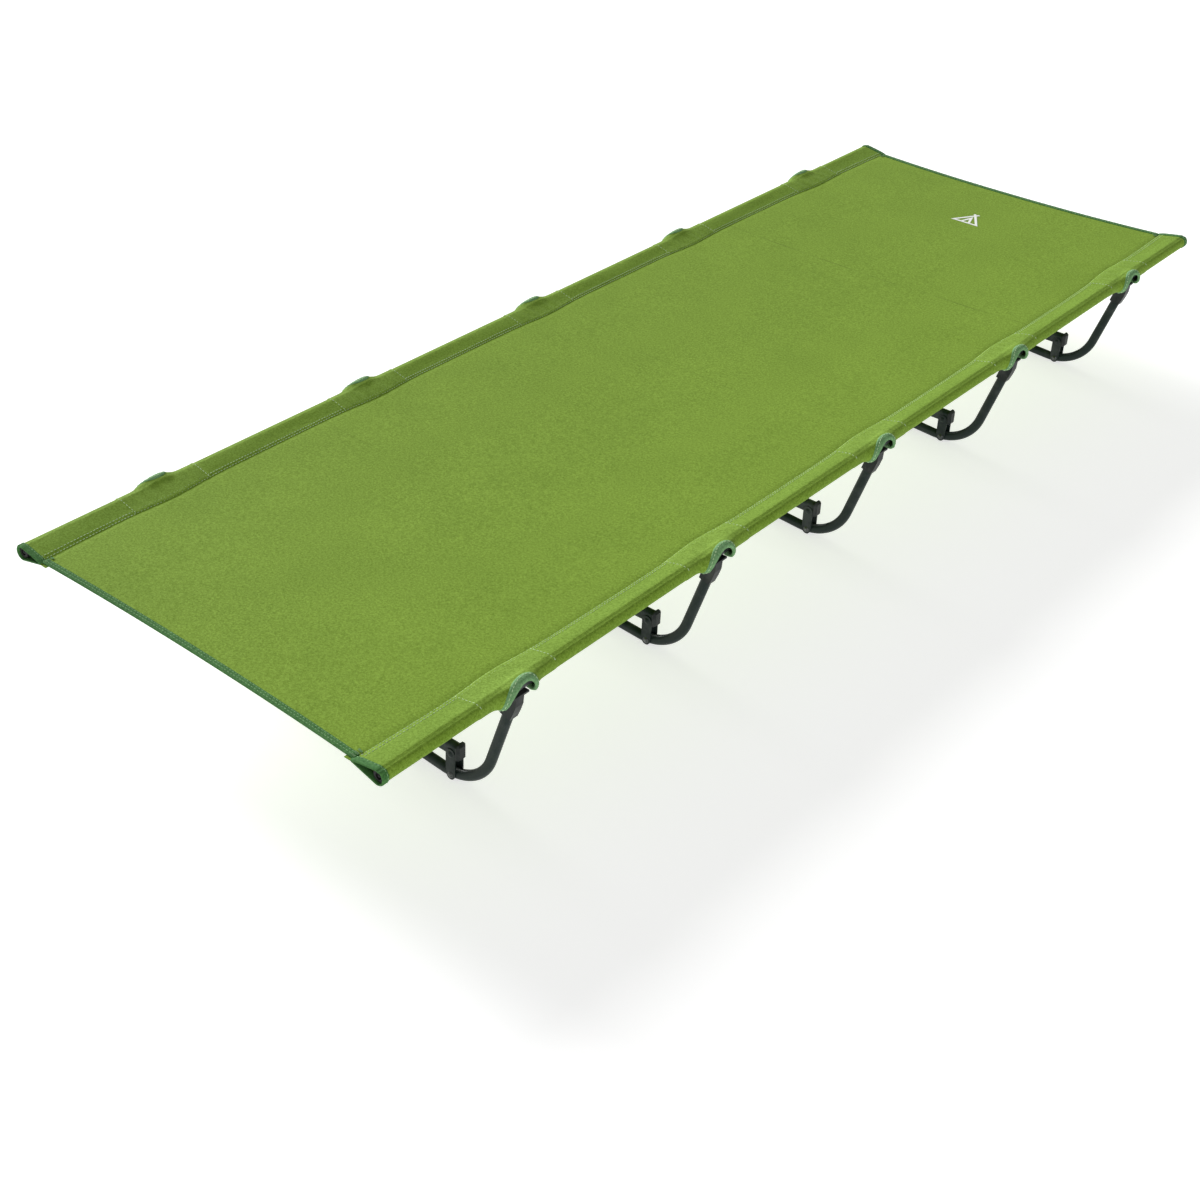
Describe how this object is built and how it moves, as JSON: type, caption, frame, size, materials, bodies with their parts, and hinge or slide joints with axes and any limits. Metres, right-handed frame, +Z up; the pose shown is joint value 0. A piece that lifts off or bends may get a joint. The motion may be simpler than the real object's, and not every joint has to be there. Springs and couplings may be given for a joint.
{
  "type": "folding cot",
  "caption": "Low camp cot: a green fabric sling on sleeved side rails, stretched by crossbar legs with curved tension levers.",
  "frame": {"origin": "on the ground, under the middle of the cot", "axes": "+Y along the cot to its head end, +X across it to the right side, +Z up"},
  "size_m": [0.64, 1.9, 0.1901],
  "materials": {
    "panel_fabric": "matte",
    "sleeve_fabric": "matte",
    "patch_fabric": "matte",
    "binding_tape": "matte",
    "hem_tape": "matte",
    "cord_fabric": "matte",
    "lever_tube": "satin",
    "crossbar_tube": "satin",
    "rail_tube": "satin",
    "ferrule_tube": "satin",
    "bracket_plate": "satin",
    "rivet_steel": "satin",
    "clip_plastic": "satin",
    "black_plastic": "matte"
  },
  "bodies": {
    "under_frame": {"crossbar_1": "crossbar_tube", "crossbar_2": "crossbar_tube", "crossbar_3": "crossbar_tube", "crossbar_4": "crossbar_tube", "crossbar_5": "crossbar_tube", "crossbar_caps": "clip_plastic", "bracket_plates_left": "bracket_plate", "bracket_plates_right": "bracket_plate", "bar_rivets": "rivet_steel", "pivot_rivets": "rivet_steel", "arm_catches": "clip_plastic", "bed_panel": "panel_fabric", "head_hem": "hem_tape", "foot_hem": "hem_tape"},
    "right_side": {"lever_right_1": "lever_tube", "lever_right_2": "lever_tube", "lever_right_3": "lever_tube", "lever_right_4": "lever_tube", "lever_right_5": "lever_tube", "rail_clip_right_1": "clip_plastic", "rail_clip_right_2": "clip_plastic", "rail_clip_right_3": "clip_plastic", "rail_clip_right_4": "clip_plastic", "rail_clip_right_5": "clip_plastic", "lever_plugs_right": "black_plastic", "sleeve_right": "sleeve_fabric", "sleeve_end_tapes_right": "hem_tape", "cutout_bindings_right": "binding_tape", "sleeve_patches_right": "patch_fabric"},
    "left_side": {"lever_left_1": "lever_tube", "lever_left_2": "lever_tube", "lever_left_3": "lever_tube", "lever_left_4": "lever_tube", "lever_left_5": "lever_tube", "rail_clip_left_1": "clip_plastic", "rail_clip_left_2": "clip_plastic", "rail_clip_left_3": "clip_plastic", "rail_clip_left_4": "clip_plastic", "rail_clip_left_5": "clip_plastic", "lever_plugs_left": "black_plastic", "sleeve_left": "sleeve_fabric", "sleeve_end_tapes_left": "hem_tape", "cutout_bindings_left": "binding_tape", "sleeve_patches_left": "patch_fabric"},
    "right_rail": {"rail_right_1": "rail_tube", "rail_right_2": "rail_tube", "rail_right_3": "rail_tube", "rail_right_4": "rail_tube", "rail_ferrules_right": "ferrule_tube", "rail_end_plugs_right": "black_plastic", "shock_cord_right": "cord_fabric"},
    "left_rail": {"rail_left_1": "rail_tube", "rail_left_2": "rail_tube", "rail_left_3": "rail_tube", "rail_left_4": "rail_tube", "rail_ferrules_left": "ferrule_tube", "rail_end_plugs_left": "black_plastic", "shock_cord_left": "cord_fabric"}
  },
  "joints": [
    {"name": "right_release", "type": "hinge", "parent": "under_frame", "child": "right_side", "pos_m": [0.2195, 0, 0.00771], "axis": [0, -1, 0], "range_deg": [0, 15], "deforming": ["bed_panel", "head_hem", "foot_hem"]},
    {"name": "right_rail_slide", "type": "slide", "parent": "right_side", "child": "right_rail", "axis": [0, -1, 0], "range_m": [0, 1.9]},
    {"name": "left_release", "type": "hinge", "parent": "under_frame", "child": "left_side", "pos_m": [-0.2195, 0, 0.00771], "axis": [0, 1, 0], "range_deg": [0, 15], "deforming": ["bed_panel", "head_hem", "foot_hem"]},
    {"name": "left_rail_slide", "type": "slide", "parent": "left_side", "child": "left_rail", "axis": [0, -1, 0], "range_m": [0, 1.9]}
  ]
}
